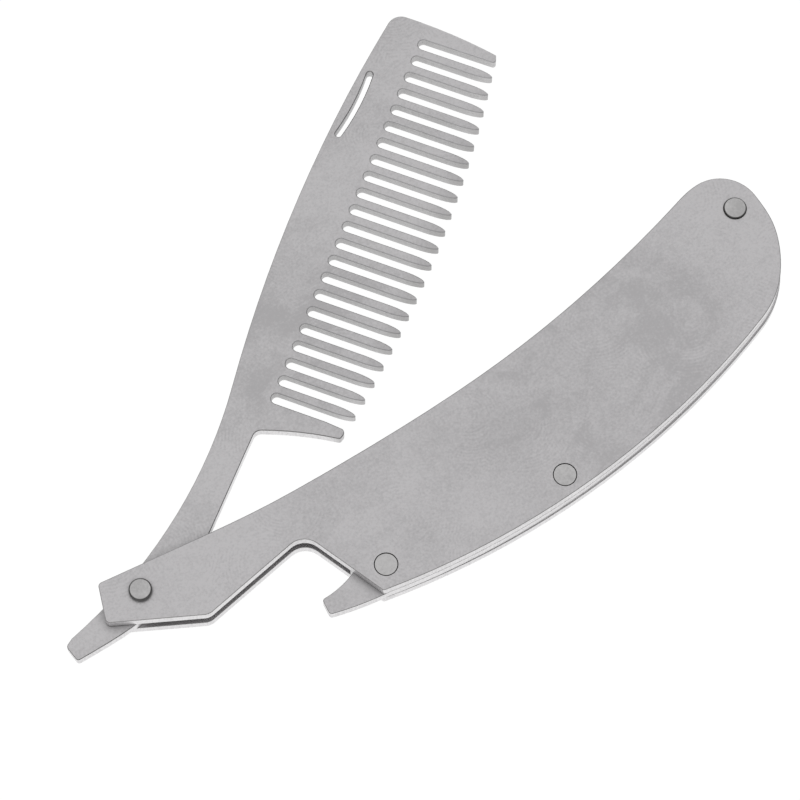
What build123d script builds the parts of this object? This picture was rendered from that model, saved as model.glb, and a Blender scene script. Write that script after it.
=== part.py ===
"""Folding stainless-steel beard comb with a bottle opener cut into its handle.

Eight loose pieces, in millimetres:
    two matching scales, the spacer strip between them (its free end is the opener hook),
    three flush rivets that clamp the handle, the pivot rivet, and the comb plate.

Frame: origin on the pivot axis at the outer face of the rear scale.
    +X runs from the pivot rivet to the rivet at the far end of the handle.
    +Y points to the side the comb opens to, +Z out of the front scale.
"""
import os
from math import cos, radians, sin

from build123d import *

os.makedirs("parts", exist_ok=True)

# --- Plate stack, counted up from the outer face of the rear scale ---------------------------
SCALE_THICKNESS = 1.95
SPACER_THICKNESS = 2.1
COMB_THICKNESS = 2.0
FRONT_BOTTOM = SCALE_THICKNESS + SPACER_THICKNESS
FRONT_TOP = FRONT_BOTTOM + SCALE_THICKNESS
COMB_BOTTOM = SCALE_THICKNESS + (SPACER_THICKNESS - COMB_THICKNESS) / 2
EDGE_ROUND = 0.15          # rounding of the scales' outer edges
INNER_BREAK = 0.08         # chamfer of the edges that meet at the seams
COMB_EDGE_BREAK = 0.12     # chamfer round both faces of the comb

# --- Rivets ----------------------------------------------------------------------------------
PIVOT = (0.0, 0.0)
HOOK_RIVET = (33.3, -17.7)
MIDDLE_RIVET = (64.3, -21.3)
TIP_RIVET = (112.5, 0.0)
SHANK_RADIUS = 1.5
REAR_HEAD_RADIUS = 3.0     # set flush into the rear scale
MIDDLE_HEAD_RADIUS = 2.3   # smaller, so that it stays inside the convex edge
REAR_HEAD_THICKNESS = 0.8
FRONT_HEAD_RADIUS = 1.8
PEEN_DEPTH = 0.6           # how far a flush front head is sunk into the front scale
PIVOT_HEAD_RISE = 0.8      # the pivot's front head stands on the scale instead
PIVOT_HEAD_ROUND = 0.3
TIP_HEAD_RISE = 0.4        # the rivet at the far end is peened a little proud
TIP_HEAD_ROUND = 0.2
SEAT_GAP = 0.09            # ring left round a sunk head
RUNNING_GAP = 0.05         # comb hole over the pivot shank
HEAD_BREAK = 0.1
# Each clamping rivet: name, centre, radius of its rear head, rise and rounding of its front head.
FIXED_RIVETS = [
    ("hook_rivet", HOOK_RIVET, REAR_HEAD_RADIUS, 0.0, HEAD_BREAK),
    ("middle_rivet", MIDDLE_RIVET, MIDDLE_HEAD_RADIUS, 0.0, HEAD_BREAK),
    ("tip_rivet", TIP_RIVET, REAR_HEAD_RADIUS, TIP_HEAD_RISE, TIP_HEAD_ROUND),
]

# --- Outline shared by the scales and the spacer ---------------------------------------------
EAR_TOE = (-4.8, 4.6)
EAR_HEEL = (-7.16, -1.4)
EAR_BEND = (6.55, -9.12)
NOTCH_ROOT = (25.6, -6.42)
BELLY_START = (30.62, -20.95)
BELLY_MIDDLE = Vector(65.0, -24.39)
BELLY_END = Vector(105.0, -17.5)
NOSE_POINTS = [Vector(112.0, -12.9), Vector(115.4, -7.4)]
NOSE_CENTRE = Vector(109.9, 0.1)
NOSE_RADIUS = 6.66
HOLLOW_POINTS = [(105.0, 5.95), (90.0, 2.65), (70.0, 0.0), (50.0, -0.6), (30.0, 0.1)]
HOLLOW_START = (13.0, 1.9)
# The rear scale is stamped a little fuller: its convex edge and nose go this far outwards.
GROWTH_DIRECTION = Vector(0.8, -0.6)
REAR_GROWTH = 0.3
CORNER_RADII = [(EAR_TOE, 0.7), (EAR_HEEL, 0.8), (EAR_BEND, 2.2), (NOTCH_ROOT, 3.2), (BELLY_START, 0.4)]

# --- Comb, in its own frame: u along the row of teeth, v towards the spine, pivot at (0, 0) --
REST_ANGLE = 35.0          # from the handle's X axis to u in the rest pose
CLOSED_ANGLE = 4.0         # the same angle with the comb folded away
TOOTH_PITCH = 3.123
SLOT_COUNT = 22
SLOT_WIDTH = 1.76
FIRST_SLOT = 37.12
SLOT_END = -6.85           # v of the closed end of every slot
ROOT_LINE = SLOT_END - SLOT_WIDTH / 2
TIP_TAPER = 3.4            # length of the rounded, tapering end of a tooth
TIP_ARC_MIDDLE = 69.5      # the longest teeth are here
TIP_ARC_DEPTH = -22.55
TIP_ARC_RADIUS = 214.0

TAIL_SHOULDER = (-10.28, 7.3)
TAIL_TOP = (-11.78, 7.6)
TAIL_LOW = (-13.28, 5.1)
SPINE_DIP = (14.12, -0.24)
SPINE_JOIN = (36.62, -0.45)
SPINE_CREST = (70.12, 1.52)
SPINE_END = (106.37, -1.3)
NOSE_EDGE = (106.22, -10.45)
LAST_TIP_OUTER = (105.12, -19.45)
LAST_TIP_INNER = (103.65, -19.95)
FIRST_TOOTH_FOOT = (31.02, -6.55)
FIRST_TOOTH_FLANK = (33.12, -13.15)
FIRST_TIP_INNER = (34.32, -19.45)
FIRST_TIP_OUTER = (35.97, -19.9)
FIRST_TIP_SHOULDER = -16.3 # v where the first tooth starts to narrow on its slot side
TANG_UNDERSIDE = (12.12, -6.05)
TAIL_UNDERSIDE = (-4.88, -1.0)
COMB_CORNER_RADII = [
    (SPINE_END, 2.4),
    (LAST_TIP_OUTER, 0.3),
    (LAST_TIP_INNER, 0.5),
    (FIRST_TIP_INNER, 0.5),
    (FIRST_TIP_OUTER, 0.75),
    (FIRST_TOOTH_FOOT, 1.4),
    (TAIL_LOW, 0.6),
    (TAIL_TOP, 0.7),
]

NAIL_SLOT_WIDTH = 1.1
NAIL_SLOT_START = (83.02, -0.5)
NAIL_SLOT_MIDDLE = (88.62, -1.37)
NAIL_SLOT_FINISH = (94.62, -1.45)

# --- Spacer strip and opener hook ------------------------------------------------------------
STRIP_CLEARANCE = 0.5      # kept between the folded comb and the strip
RELIEF_INSET = 0.8         # the strip's inner curve stops this short of the pocket's end
POCKET_OPEN_SIDE = 20.0    # the pocket is cut through to here, past the scales' outline
POCKET_EAR_SIDE = -12.0    # and to here past the ear
PAD_RADIUS = 2.1           # strip material round the hook rivet
HOOK_TIP_TOP = (22.37, -16.34)
HOOK_TOP_MIDDLE = (26.37, -16.09)
HOOK_ROOT_TOP = (29.27, -15.19)
HOOK_TIP_LOW = (22.02, -18.99)
HOOK_LOW_MIDDLE = (25.07, -19.89)
HOOK_ROOT_LOW = (31.0, -21.1)
HOOK_CORNER_RADII = [(HOOK_TIP_TOP, 0.5), (HOOK_TIP_LOW, 0.6)]


def tip_depth(u):
    """v of the curved line that all tooth tips touch."""
    rise = TIP_ARC_RADIUS - (TIP_ARC_RADIUS**2 - (u - TIP_ARC_MIDDLE) ** 2) ** 0.5
    return TIP_ARC_DEPTH + rise


def folded(u, v):
    """Handle-frame point of a comb point when the comb is folded away."""
    angle = radians(CLOSED_ANGLE)
    return (u * cos(angle) - v * sin(angle), u * sin(angle) + v * cos(angle))


def scale_outline(growth):
    """Flat outline of a layer of the handle whose convex edge and nose are moved out by growth."""
    shift = GROWTH_DIRECTION * growth
    with BuildSketch() as outline:
        with BuildLine():
            belly = ThreePointArc(BELLY_START, BELLY_MIDDLE + shift, BELLY_END + shift)
            nose = CenterArc(NOSE_CENTRE + shift, NOSE_RADIUS, 0, 90)
            nose_points = [point + shift for point in NOSE_POINTS]
            Spline(belly @ 1, *nose_points, nose @ 0, tangents=(belly % 1, nose % 0))
            hollow = Spline(nose @ 1, *HOLLOW_POINTS, HOLLOW_START, tangents=(nose % 1, (-1, 0.15)))
            Polyline(hollow @ 1, EAR_TOE, EAR_HEEL, EAR_BEND, NOTCH_ROOT, BELLY_START)
        make_face()
        for corner, radius in CORNER_RADII:
            fillet(outline.vertices().sort_by_distance(corner)[0], radius)
    return outline.sketch


# --- Scales ----------------------------------------------------------------------------------
with BuildPart() as rear_scale:
    with BuildSketch():
        add(scale_outline(REAR_GROWTH))
    extrude(amount=SCALE_THICKNESS)
    chamfer(rear_scale.faces().sort_by(Axis.Z)[-1].edges(), INNER_BREAK)
    fillet(rear_scale.faces().sort_by(Axis.Z)[0].edges(), EDGE_ROUND)
    rear_seats = [(PIVOT, REAR_HEAD_RADIUS)] + [(rivet[1], rivet[2]) for rivet in FIXED_RIVETS]
    for centre, head_radius in rear_seats:
        with Locations(Plane(origin=centre, z_dir=(0, 0, -1))):
            CounterBoreHole(SHANK_RADIUS, head_radius + SEAT_GAP, REAR_HEAD_THICKNESS)
rear_scale.part.label = "rear_scale"

with BuildPart() as front_scale:
    with BuildSketch(Plane.XY.offset(FRONT_BOTTOM)):
        add(scale_outline(0))
    extrude(amount=SCALE_THICKNESS)
    chamfer(front_scale.faces().sort_by(Axis.Z)[0].edges(), INNER_BREAK)
    fillet(front_scale.faces().sort_by(Axis.Z)[-1].edges(), EDGE_ROUND)
    with Locations((*PIVOT, FRONT_TOP)):
        Hole(SHANK_RADIUS)
    for _, centre, *_ in FIXED_RIVETS:
        with Locations((*centre, FRONT_TOP)):
            CounterBoreHole(SHANK_RADIUS, FRONT_HEAD_RADIUS + SEAT_GAP, PEEN_DEPTH)
front_scale.part.label = "front_scale"

# --- Spacer strip: the scale outline with the comb's pocket taken out, plus the hook ---------
comb_reach = max(abs(Vector(*SPINE_END)), abs(Vector(*NOSE_EDGE)), abs(Vector(*LAST_TIP_OUTER)))
pocket_end = comb_reach + STRIP_CLEARANCE
relief_first = folded(FIRST_SLOT - TOOTH_PITCH / 2, tip_depth(FIRST_SLOT) - STRIP_CLEARANCE)
relief_middle = folded(TIP_ARC_MIDDLE, TIP_ARC_DEPTH - STRIP_CLEARANCE)
relief_last = folded(pocket_end - RELIEF_INSET, tip_depth(pocket_end) - STRIP_CLEARANCE)

with BuildPart() as spacer:
    with BuildSketch(Plane.XY.offset(SCALE_THICKNESS)) as strip:
        add(scale_outline(0))
        with BuildSketch(mode=Mode.PRIVATE) as pocket:
            with BuildLine():
                relief = ThreePointArc(relief_first, relief_middle, relief_last)
                Polyline(relief @ 1, (pocket_end, 0), (pocket_end, POCKET_OPEN_SIDE),
                         (-POCKET_OPEN_SIDE, POCKET_OPEN_SIDE), (-POCKET_OPEN_SIDE, POCKET_EAR_SIDE),
                         (POCKET_OPEN_SIDE, POCKET_EAR_SIDE), HOOK_ROOT_TOP, HOOK_RIVET, relief @ 0)
            make_face()
            with Locations(PIVOT):
                Circle(pocket_end, mode=Mode.INTERSECT)
        add(pocket.sketch, mode=Mode.SUBTRACT)
        with Locations(HOOK_RIVET):
            Circle(PAD_RADIUS)
        with BuildLine():
            hook_top = ThreePointArc(HOOK_ROOT_TOP, HOOK_TOP_MIDDLE, HOOK_TIP_TOP)
            hook_low = ThreePointArc(HOOK_TIP_LOW, HOOK_LOW_MIDDLE, HOOK_ROOT_LOW)
            Line(hook_top @ 1, hook_low @ 0)
            Polyline(hook_low @ 1, HOOK_RIVET, hook_top @ 0)
        make_face()
        for corner, radius in HOOK_CORNER_RADII:
            fillet(strip.vertices().sort_by_distance(corner)[0], radius)
    extrude(amount=SPACER_THICKNESS)
    for face in (spacer.faces().sort_by(Axis.Z)[0], spacer.faces().sort_by(Axis.Z)[-1]):
        chamfer(face.edges(), INNER_BREAK)
    for _, centre, *_ in FIXED_RIVETS:
        with Locations((*centre, FRONT_BOTTOM)):
            Hole(SHANK_RADIUS)
spacer.part.label = "spacer"

# --- Comb ------------------------------------------------------------------------------------
comb_plane = Plane(
    origin=(0, 0, COMB_BOTTOM),
    x_dir=(cos(radians(REST_ANGLE)), sin(radians(REST_ANGLE)), 0),
    z_dir=(0, 0, 1),
)
slot_centres = [FIRST_SLOT + i * TOOTH_PITCH for i in range(SLOT_COUNT)]
first_inner_edge = slot_centres[0] - SLOT_WIDTH / 2
last_inner_edge = slot_centres[-1] + SLOT_WIDTH / 2
tooth_width = TOOTH_PITCH - SLOT_WIDTH

with BuildPart() as comb:
    with BuildSketch(comb_plane) as blank:
        # Tail, tang, spine and the two broad end teeth in one outline.
        with BuildLine():
            tang_spine = ThreePointArc(TAIL_SHOULDER, SPINE_DIP, SPINE_JOIN)
            spine = ThreePointArc(SPINE_JOIN, SPINE_CREST, SPINE_END)
            end_edge = ThreePointArc(SPINE_END, NOSE_EDGE, LAST_TIP_OUTER)
            Polyline(end_edge @ 1, LAST_TIP_INNER, (last_inner_edge, ROOT_LINE),
                     (first_inner_edge, ROOT_LINE), (first_inner_edge, FIRST_TIP_SHOULDER),
                     FIRST_TIP_OUTER, FIRST_TIP_INNER)
            flank = ThreePointArc(FIRST_TIP_INNER, FIRST_TOOTH_FLANK, FIRST_TOOTH_FOOT)
            Line(flank @ 1, TANG_UNDERSIDE)
            Spline(TANG_UNDERSIDE, TAIL_UNDERSIDE, TAIL_LOW, tangents=((-1, 0.02), (-0.79, 0.61)))
            Polyline(TAIL_LOW, TAIL_TOP, TAIL_SHOULDER)
        make_face()
        # Teeth between neighbouring slots: a straight shank that ends in half an ellipse.
        for left, right in zip(slot_centres, slot_centres[1:]):
            middle = (left + right) / 2
            shoulder = tip_depth(middle) + TIP_TAPER
            with Locations((middle, (ROOT_LINE + shoulder) / 2)):
                Rectangle(tooth_width, ROOT_LINE - shoulder)
            with Locations((middle, shoulder)):
                Ellipse(tooth_width / 2, TIP_TAPER)
        # Round ends of the slots.
        with Locations(*[(u, ROOT_LINE) for u in slot_centres]):
            Circle(SLOT_WIDTH / 2, mode=Mode.SUBTRACT)
        # Curved slot for a fingernail.
        with BuildLine():
            ThreePointArc(NAIL_SLOT_START, NAIL_SLOT_MIDDLE, NAIL_SLOT_FINISH)
            offset(amount=NAIL_SLOT_WIDTH / 2, side=Side.BOTH, mode=Mode.REPLACE)
        make_face(mode=Mode.SUBTRACT)
        for corner, radius in COMB_CORNER_RADII:
            fillet(blank.vertices().sort_by_distance(corner)[0], radius)
    extrude(amount=COMB_THICKNESS)
    for face in (comb.faces().sort_by(Axis.Z)[0], comb.faces().sort_by(Axis.Z)[-1]):
        chamfer(face.edges(), COMB_EDGE_BREAK)
    with Locations((*PIVOT, COMB_BOTTOM + COMB_THICKNESS)):
        Hole(SHANK_RADIUS + RUNNING_GAP)
comb.part.label = "comb"

# --- Rivets ----------------------------------------------------------------------------------
def make_rivet(label, centre, rear_radius, front_base, front_top, head_round):
    """Rivet with a flush rear head and a small, rounded front head between two heights."""
    with BuildPart() as rivet:
        with BuildSketch():
            with Locations(centre):
                Circle(rear_radius)
        extrude(amount=REAR_HEAD_THICKNESS)
        chamfer(rivet.faces().sort_by(Axis.Z)[0].edges(), HEAD_BREAK)
        with BuildSketch(Plane.XY.offset(REAR_HEAD_THICKNESS)):
            with Locations(centre):
                Circle(SHANK_RADIUS)
        extrude(amount=front_base - REAR_HEAD_THICKNESS)
        with BuildSketch(Plane.XY.offset(front_base)):
            with Locations(centre):
                Circle(FRONT_HEAD_RADIUS)
        extrude(amount=front_top - front_base)
        fillet(rivet.faces().sort_by(Axis.Z)[-1].edges(), head_round)
    rivet.part.label = label
    return rivet.part


pivot_head_top = FRONT_TOP + PIVOT_HEAD_RISE
rivets = [make_rivet("pivot_rivet", PIVOT, REAR_HEAD_RADIUS, FRONT_TOP, pivot_head_top, PIVOT_HEAD_ROUND)]
for name, centre, head_radius, rise, head_round in FIXED_RIVETS:
    peen_base = FRONT_TOP - PEEN_DEPTH
    rivets.append(make_rivet(name, centre, head_radius, peen_base, FRONT_TOP + rise, head_round))

# --- One STEP file per piece -----------------------------------------------------------------
for piece in (rear_scale.part, front_scale.part, spacer.part, comb.part, *rivets):
    export_step(piece, f"parts/{piece.label}.step")
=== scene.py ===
"""Folding beard comb: materials, floor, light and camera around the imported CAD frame."""
import math

import bpy
from mathutils import Matrix, Vector


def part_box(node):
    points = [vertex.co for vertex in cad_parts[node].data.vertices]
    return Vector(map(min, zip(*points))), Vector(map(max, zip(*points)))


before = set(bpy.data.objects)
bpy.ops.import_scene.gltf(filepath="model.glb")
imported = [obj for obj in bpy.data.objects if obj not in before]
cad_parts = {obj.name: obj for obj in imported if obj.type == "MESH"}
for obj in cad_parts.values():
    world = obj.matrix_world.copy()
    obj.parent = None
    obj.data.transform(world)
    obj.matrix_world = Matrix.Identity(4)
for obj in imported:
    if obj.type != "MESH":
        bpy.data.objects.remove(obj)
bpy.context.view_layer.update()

MM = 0.001
MM_PER_METRE = 1000
UP = Vector((0, 0, 1))

# ---------------------------------------------------------------- camera
# The camera stands off the front scale's top face, tilted toward the convex side of the handle.
TURN = math.radians(34.38)          # the handle's long axis points up and to the right by this much
TILT = math.radians(20.5)           # away from straight overhead
DISTANCE = 545 * MM
AIM = (50.2 * MM, 3.24 * MM)        # the place on the top face that the camera looks at
LENS = 157.5
SENSOR = 36.0
NEAR_CLIP = 10 * MM
FAR_CLIP = 20
PICTURE_RIGHT = Vector((math.cos(TURN), -math.sin(TURN), 0))
PICTURE_UP = Vector((math.sin(TURN), math.cos(TURN), 0))


def place_camera():
    """Aim the camera at the front scale's top face and make it the scene's camera."""
    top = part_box("front_scale")[1].z
    look = Vector((*AIM, top))
    back = -math.sin(TILT) * PICTURE_UP + math.cos(TILT) * UP
    screen_up = back.cross(PICTURE_RIGHT)
    turn = Matrix((PICTURE_RIGHT, screen_up, back)).transposed()
    camera = bpy.data.objects.new("camera", bpy.data.cameras.new("camera"))
    bpy.context.scene.collection.objects.link(camera)
    camera.data.lens = LENS
    camera.data.sensor_width = SENSOR
    camera.data.clip_start = NEAR_CLIP
    camera.data.clip_end = FAR_CLIP
    camera.matrix_world = Matrix.Translation(look + DISTANCE * back) @ turn.to_4x4()
    bpy.context.scene.camera = camera


# ---------------------------------------------------------------- node helpers
class Tree:
    """Short calls for building a node tree. Every call but add and put returns an output socket."""

    def __init__(self, tree):
        self.tree = tree
        tree.nodes.clear()

    def add(self, kind, **settings):
        node = self.tree.nodes.new(kind)
        for name, value in settings.items():
            setattr(node, name, value)
        return node

    def put(self, socket, value):
        """Link a socket to another one, or set its own value."""
        if isinstance(value, bpy.types.NodeSocket):
            self.tree.links.new(value, socket)
        else:
            socket.default_value = value

    def math(self, operation, a, b=None, c=None, clamp=False):
        node = self.add("ShaderNodeMath", operation=operation, use_clamp=clamp)
        for socket, value in zip(node.inputs, (a, b, c)):
            if value is not None:
                self.put(socket, value)
        return node.outputs[0]

    def about_zero(self, pattern):
        """A pattern that runs from 0 to 1, moved down to run from -0.5 to 0.5."""
        return self.math("SUBTRACT", pattern, 0.5)

    def ramp(self, value, low, high):
        """Smooth step from 0 at low to 1 at high. Low may be the larger of the two."""
        node = self.add("ShaderNodeMapRange", interpolation_type="SMOOTHSTEP")
        self.put(node.inputs["Value"], value)
        self.put(node.inputs["From Min"], low)
        self.put(node.inputs["From Max"], high)
        self.put(node.inputs["To Min"], 0.0)
        self.put(node.inputs["To Max"], 1.0)
        return node.outputs["Result"]

    def mapping(self, vector, scale=(1, 1, 1), turn=(0, 0, 0), move=(0, 0, 0)):
        node = self.add("ShaderNodeMapping")
        self.put(node.inputs["Vector"], vector)
        self.put(node.inputs["Location"], move)
        self.put(node.inputs["Rotation"], turn)
        self.put(node.inputs["Scale"], scale)
        return node.outputs["Vector"]

    def noise(self, vector, scale, detail=2.0, roughness=0.5, distortion=0.0):
        node = self.add("ShaderNodeTexNoise")
        self.put(node.inputs["Vector"], vector)
        self.put(node.inputs["Scale"], scale)
        self.put(node.inputs["Detail"], detail)
        self.put(node.inputs["Roughness"], roughness)
        self.put(node.inputs["Distortion"], distortion)
        return node.outputs["Fac"]

    def cells(self, vector, scale):
        """Distance to the nearest of the scattered cell centres, in cell widths."""
        node = self.add("ShaderNodeTexVoronoi", feature="F1", voronoi_dimensions="2D")
        self.put(node.inputs["Vector"], vector)
        self.put(node.inputs["Scale"], scale)
        return node.outputs["Distance"]

    def closeness(self, reach, low, high):
        """How closed in a place is by what stands within reach: 0 at the openness low, 1 at high."""
        node = self.add("ShaderNodeAmbientOcclusion", samples=8)
        self.put(node.inputs["Distance"], reach)
        return self.ramp(node.outputs["AO"], low, high)

    def mix_colour(self, factor, a, b):
        node = self.add("ShaderNodeMix", data_type="RGBA")
        factor_in, colour_a, colour_b = node.inputs[0], node.inputs[6], node.inputs[7]
        self.put(factor_in, factor)
        self.put(colour_a, a)
        self.put(colour_b, b)
        return node.outputs[2]


# ---------------------------------------------------------------- satin steel
# Patterns lie in millimetres on each piece, so a noise scale of 0.1 has lumps about 10 mm across.
RING_CENTRES = 0.075                # centres of the round polishing marks, per millimetre
RING_CELL = 13.3                    # about 1 / RING_CENTRES, in millimetres
RING_PHASE = 11.0                   # radians per millimetre out from a centre
RING_WARP = 14.0                    # radians by which noise bends the rings
SPOT_SQUEEZE = 1.3                  # a thumb's spot is this much narrower in Y than in X
SEAM_REACH = 0.5 * MM
SHELTER_REACH = 2.5 * MM
BUMP_HEIGHT = 0.02 * MM
# Colours of the painted shade: grey for slots and beside overhanging plates, brown-black down in the seams.
SHADE_GREY = (0.26, 0.26, 0.26, 1)
SEAM_SHADE_BROWN = (0.09, 0.085, 0.08, 1)

# The comb's row of teeth in the rest pose, in millimetres: X along the row, teeth toward -Y.
COMB_ANGLE = math.radians(35.0)     # from the handle's X axis to the row of teeth
ROW_START = (36.0, 36.4)            # fades in at the first slot's edge
SLOT_ENDS = (-5.6, -6.4)            # fades in where the slots end in the spine
TOOTH_TIPS = (-17.0, -22.0)         # fades in toward the points


def surface_masks(tree, coordinates):
    """Masks for flat faces, for cut walls and for the narrow broken edges between them."""
    normal = tree.add("ShaderNodeSeparateXYZ")
    tree.put(normal.inputs[0], coordinates.outputs["Normal"])
    facing = tree.math("ABSOLUTE", normal.outputs["Z"])
    sheet = tree.ramp(facing, 0.93, 0.99)
    wall = tree.ramp(facing, 0.35, 0.1)
    broken_edge = tree.math("SUBTRACT", tree.math("SUBTRACT", 1.0, sheet), wall, clamp=True)
    return sheet, wall, broken_edge


def polishing_rings(tree, place, sheet, depth):
    """Round polishing marks: broken arcs about scattered centres, each patch fading in and out."""
    warp = tree.math("MULTIPLY", tree.noise(place, scale=0.22, detail=2.0), RING_WARP)
    distance = tree.cells(place, scale=RING_CENTRES)
    rings = tree.math("SINE", tree.math("MULTIPLY_ADD", distance, RING_CELL * RING_PHASE, warp))
    patch = tree.ramp(tree.noise(place, scale=0.14, detail=2.0), 0.50, 0.64)
    broken_rings = tree.math("MULTIPLY", rings, patch)
    return tree.math("MULTIPLY", broken_rings, tree.math("MULTIPLY", sheet, depth))


def cut_streaks(tree, place, wall):
    """Short streaks down the thickness of the cut walls."""
    streaks = tree.noise(tree.mapping(place, scale=(3.4, 3.4, 0.6)), scale=1.0, detail=2.0, roughness=0.6)
    return tree.math("MULTIPLY", tree.about_zero(streaks), wall)


def handling_smudges(tree, coordinates, place, sheet, spot):
    """Larger dull smudges. With a spot (x, y and radius in millimetres) they gather where a thumb rests."""
    stretched = tree.mapping(place, scale=(1.0, 1.4, 1.0), move=(7.0, 3.0, 0))
    smudge = tree.noise(stretched, scale=0.085, detail=4.0, roughness=0.62, distortion=0.9)
    smudge = tree.math("MULTIPLY", tree.ramp(smudge, 0.45, 0.62), sheet)
    if not spot:
        return smudge
    spot_x, spot_y, spot_radius = spot
    away = tree.mapping(coordinates.outputs["Object"],
                        scale=(MM_PER_METRE, SPOT_SQUEEZE * MM_PER_METRE, 0),
                        move=(-spot_x, -SPOT_SQUEEZE * spot_y, 0))
    reach = tree.add("ShaderNodeVectorMath", operation="LENGTH")
    tree.put(reach.inputs[0], away)
    near_spot = tree.ramp(reach.outputs["Value"], spot_radius, 0.45 * spot_radius)
    return tree.math("MULTIPLY", tree.math("MULTIPLY_ADD", smudge, 0.6, 0.4), near_spot)


def tooth_shade(tree, coordinates, wall, edge_shade):
    """Painted shade on the comb: walls between the teeth darkened to nearly the faces' tone, the dark broken
    edges there mostly taken off, and the tips of the teeth darkened.
    """
    row = tree.add("ShaderNodeSeparateXYZ")
    tree.put(row.inputs[0], tree.mapping(coordinates.outputs["Object"], scale=(MM_PER_METRE,) * 3,
                                         turn=(0, 0, -COMB_ANGLE)))
    along, across = row.outputs["X"], row.outputs["Y"]
    tooth = tree.math("MULTIPLY", tree.ramp(along, *ROW_START), tree.ramp(across, *SLOT_ENDS))
    tip = tree.ramp(across, *TOOTH_TIPS)
    edge_shade = tree.math("MULTIPLY", edge_shade, tree.math("MULTIPLY_ADD", tooth, -0.9, 1.0))
    # Painted shade on the walls between the teeth.
    tooth_wall_shade = tree.math("MULTIPLY", tree.math("MULTIPLY", tooth, wall), 0.36)
    edge_shade = tree.math("MAXIMUM", edge_shade, tooth_wall_shade)
    # Painted shade at the tips of the teeth, stronger on their walls.
    tip_shade = tree.math("MULTIPLY", tip, tree.math("MULTIPLY_ADD", wall, 0.55, 0.25))
    return tree.math("MAXIMUM", edge_shade, tip_shade)


def satin_steel(name, seed, colour, roughness=0.36, cloud_depth=0.5, swirl_depth=1.0, shelter_depth=1.0,
                edge_dark=0.8, wall_dark=0.0, edge_shade_tone=0.30, smudge_spot=None, teeth=False):
    """Tumbled stainless sheet: clouds, round polishing marks, fine grain and sheared walls, with painted
    shade on the edges, walls, seams and sheltered places.
    """
    material = bpy.data.materials.new(name)
    material.use_nodes = True
    tree = Tree(material.node_tree)
    coordinates = tree.add("ShaderNodeTexCoord")
    place = tree.mapping(coordinates.outputs["Object"], scale=(MM_PER_METRE,) * 3, move=(seed, 2.3 * seed, 0))
    sheet, wall, broken_edge = surface_masks(tree, coordinates)

    cloud = tree.noise(place, scale=0.055, detail=3.0, roughness=0.55, distortion=0.6)
    cloud = tree.ramp(cloud, 0.44, 0.68)
    mottle = tree.noise(place, scale=0.42, detail=3.0, roughness=0.6)
    grain = tree.noise(place, scale=2.6, detail=3.0, roughness=0.65)
    drag_place = tree.mapping(place, scale=(0.5, 4.5, 1.0), turn=(0, 0, 0.5))
    drag = tree.noise(drag_place, scale=1.0, detail=3.0, roughness=0.6)
    rings = polishing_rings(tree, place, sheet, swirl_depth)
    streaks = cut_streaks(tree, place, wall)
    smudge = handling_smudges(tree, coordinates, place, sheet, smudge_spot)

    # Painted shade: a dark brown down in the seams, which also raises the roughness there, and a softer grey
    # in slots and beside overhanging plates.
    seam_shade = tree.closeness(SEAM_REACH, 0.45, 0.08)
    shade = tree.math("MULTIPLY", tree.closeness(SHELTER_REACH, 0.95, 0.45), shelter_depth)

    # How dull the metal is: every pattern adds its share.
    tone = tree.math("MULTIPLY", cloud, cloud_depth)
    tone = tree.math("MULTIPLY_ADD", tree.about_zero(mottle), 0.7, tone)
    tone = tree.math("MULTIPLY_ADD", smudge, 0.8, tone)
    tone = tree.math("MULTIPLY_ADD", tree.about_zero(grain), 2.4, tone)
    tone = tree.math("MULTIPLY_ADD", tree.about_zero(drag), 0.35, tone)
    tone = tree.math("MULTIPLY_ADD", rings, 0.12, tone)
    tone = tree.math("MULTIPLY_ADD", streaks, 2.6, tone)
    tone = tree.math("ADD", tone, 0.15, clamp=True)
    bright = tuple(channel * 1.04 for channel in colour) + (1,)
    dull = tuple(channel * 0.86 for channel in colour) + (1,)
    skin = tree.mix_colour(tone, bright, dull)
    # Painted shade: grey mixed in where other metal stands close around.
    skin = tree.mix_colour(tree.math("MULTIPLY", shade, 0.55), skin, SHADE_GREY)

    # Painted shade: edges, rims and walls are darkened to stand in for the darker reflections on them.
    edge_shade = tree.math("MULTIPLY", broken_edge, edge_dark)
    if teeth:
        edge_shade = tooth_shade(tree, coordinates, wall, edge_shade)
    edge_shade = tree.math("MULTIPLY_ADD", wall, wall_dark, edge_shade, clamp=True)
    skin = tree.mix_colour(edge_shade, skin, (edge_shade_tone, 0.98 * edge_shade_tone, 0.97 * edge_shade_tone, 1))
    # Painted shade: dark brown mixed in down in the seams.
    skin = tree.mix_colour(tree.math("MULTIPLY", seam_shade, 0.75), skin, SEAM_SHADE_BROWN)

    gloss = tree.math("MULTIPLY_ADD", cloud, 0.05, roughness)
    gloss = tree.math("MULTIPLY_ADD", tree.about_zero(grain), 0.16, gloss)
    gloss = tree.math("MULTIPLY_ADD", rings, 0.03, gloss)
    gloss = tree.math("MULTIPLY_ADD", smudge, 0.05, gloss)
    gloss = tree.math("MULTIPLY_ADD", seam_shade, 0.3, gloss, clamp=True)

    height = tree.math("MULTIPLY", grain, 0.55)
    height = tree.math("MULTIPLY_ADD", drag, 0.4, height)
    height = tree.math("MULTIPLY_ADD", rings, 0.12, height)
    height = tree.math("MULTIPLY_ADD", streaks, 1.2, height)
    bump = tree.add("ShaderNodeBump")
    tree.put(bump.inputs["Strength"], 0.35)
    tree.put(bump.inputs["Distance"], BUMP_HEIGHT)
    tree.put(bump.inputs["Height"], height)

    shader = tree.add("ShaderNodeBsdfPrincipled")
    tree.put(shader.inputs["Metallic"], 1.0)
    tree.put(shader.inputs["Base Color"], skin)
    tree.put(shader.inputs["Roughness"], gloss)
    tree.put(shader.inputs["Normal"], bump.outputs["Normal"])
    output = tree.add("ShaderNodeOutputMaterial")
    tree.put(output.inputs["Surface"], shader.outputs[0])
    return material


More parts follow.
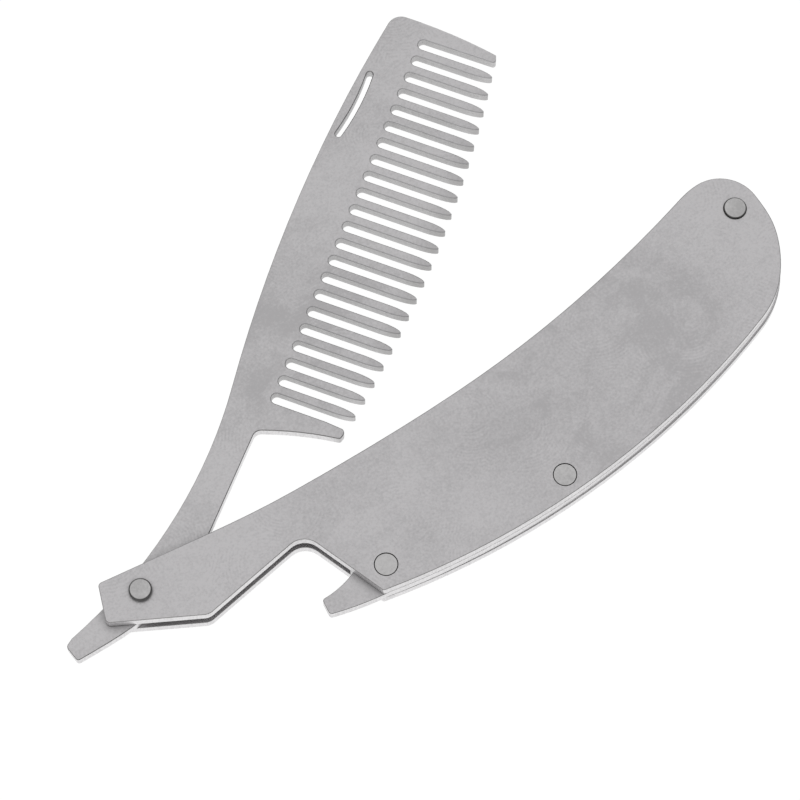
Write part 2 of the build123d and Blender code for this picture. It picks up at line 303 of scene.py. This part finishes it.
PLATE = (0.712, 0.702, 0.708)
COMB = (0.715, 0.706, 0.711)
RIVET = (0.69, 0.685, 0.68)
# Rivets: a plain tone, with strong painted shade on their edges and walls.
RIVET_FINISH_AND_SHADE = dict(colour=RIVET, cloud_depth=0.2, swirl_depth=0.0,
                    edge_dark=0.95, wall_dark=0.9, edge_shade_tone=0.12)
# Each piece's finish, together with its painted shade settings.
FINISHES_AND_SHADE = {
    "front_scale": dict(seed=3.0, colour=PLATE, cloud_depth=0.3, smudge_spot=(80.0, -10.0, 32.0)),
    "rear_scale": dict(seed=57.0, colour=PLATE, shelter_depth=0.0),
    "spacer": dict(seed=91.0, colour=PLATE, swirl_depth=0.4),
    "comb": dict(seed=23.0, colour=COMB, cloud_depth=0.3, smudge_spot=(41.0, 25.0, 28.0), teeth=True),
    "pivot_rivet": dict(seed=11.0, **RIVET_FINISH_AND_SHADE),
    "hook_rivet": dict(seed=19.0, **RIVET_FINISH_AND_SHADE),
    "middle_rivet": dict(seed=31.0, **RIVET_FINISH_AND_SHADE),
    "tip_rivet": dict(seed=43.0, **RIVET_FINISH_AND_SHADE),
}

# ---------------------------------------------------------------- floor
FLOOR_SIZE = 3.0
FLOOR_PLACE = (50 * MM, 0, -0.05 * MM)     # a hair below the rear scale
FLOOR_GLOW = 0.93                          # the floor glows, so that it shows white all over
PAPER_DARK = (0.16, 0.16, 0.16, 1)
PAPER_LIGHT = (0.20, 0.20, 0.20, 1)


def lay_floor():
    """A wide sheet of white paper under the object."""
    bpy.ops.mesh.primitive_plane_add(size=FLOOR_SIZE, location=FLOOR_PLACE)
    floor = bpy.context.object
    floor.name = "floor"
    paper = bpy.data.materials.new("floor_paper")
    paper.use_nodes = True
    tree = Tree(paper.node_tree)
    fibres = tree.noise(tree.add("ShaderNodeTexCoord").outputs["Object"], scale=900.0, detail=2.0)
    shader = tree.add("ShaderNodeBsdfPrincipled")
    tree.put(shader.inputs["Base Color"], tree.mix_colour(fibres, PAPER_DARK, PAPER_LIGHT))
    tree.put(shader.inputs["Roughness"], 0.9)
    tree.put(shader.inputs["Specular IOR Level"], 0.1)
    tree.put(shader.inputs["Emission Color"], (1, 1, 1, 1))
    tree.put(shader.inputs["Emission Strength"], FLOOR_GLOW)
    output = tree.add("ShaderNodeOutputMaterial")
    tree.put(output.inputs["Surface"], shader.outputs[0])
    floor.data.materials.append(paper)


# ---------------------------------------------------------------- light
SIDE_GREY = (0.36, 0.36, 0.365, 1)
OVERHEAD_GREY = (0.69, 0.685, 0.69, 1)
KEY_PLACE = 0.75 * (-0.75 * PICTURE_UP - 0.35 * PICTURE_RIGHT + UP)
KEY_SIZE = 0.5
KEY_POWER = 0.5
LIGHT_AIM = Vector((50 * MM, 10 * MM, 0))


def pitch_tent():
    """Light from all round: dim from the sides, brighter from overhead."""
    world = bpy.data.worlds.new("tent")
    bpy.context.scene.world = world
    world.use_nodes = True
    tree = Tree(world.node_tree)
    direction = tree.add("ShaderNodeSeparateXYZ")
    tree.put(direction.inputs[0], tree.add("ShaderNodeTexCoord").outputs["Generated"])
    overhead = tree.ramp(direction.outputs["Z"], 0.45, 0.85)
    colour = tree.mix_colour(overhead, SIDE_GREY, OVERHEAD_GREY)
    background = tree.add("ShaderNodeBackground")
    tree.put(background.inputs["Color"], colour)
    tree.put(background.inputs["Strength"], 1.0)
    output = tree.add("ShaderNodeOutputWorld")
    tree.put(output.inputs["Surface"], background.outputs[0])


def hang_key_light():
    """One square softbox, high up past the pivot end on the handle's convex side, aimed at the object."""
    light = bpy.data.lights.new("key_light", "AREA")
    light.shape = "SQUARE"
    light.size = KEY_SIZE
    light.energy = KEY_POWER
    lamp = bpy.data.objects.new("key_light", light)
    bpy.context.scene.collection.objects.link(lamp)
    lamp.location = KEY_PLACE
    lamp.rotation_mode = "QUATERNION"
    lamp.rotation_quaternion = (LIGHT_AIM - KEY_PLACE).to_track_quat("-Z", "Y")


# ---------------------------------------------------------------- scene
place_camera()
for node_name, settings in FINISHES_AND_SHADE.items():
    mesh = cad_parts[node_name].data
    mesh.materials[0] = satin_steel(node_name + "_steel", **settings)
lay_floor()
pitch_tent()
hang_key_light()

view = bpy.context.scene.view_settings
view.view_transform = "Standard"
view.look = "None"
view.exposure = 0.0
view.gamma = 1.0
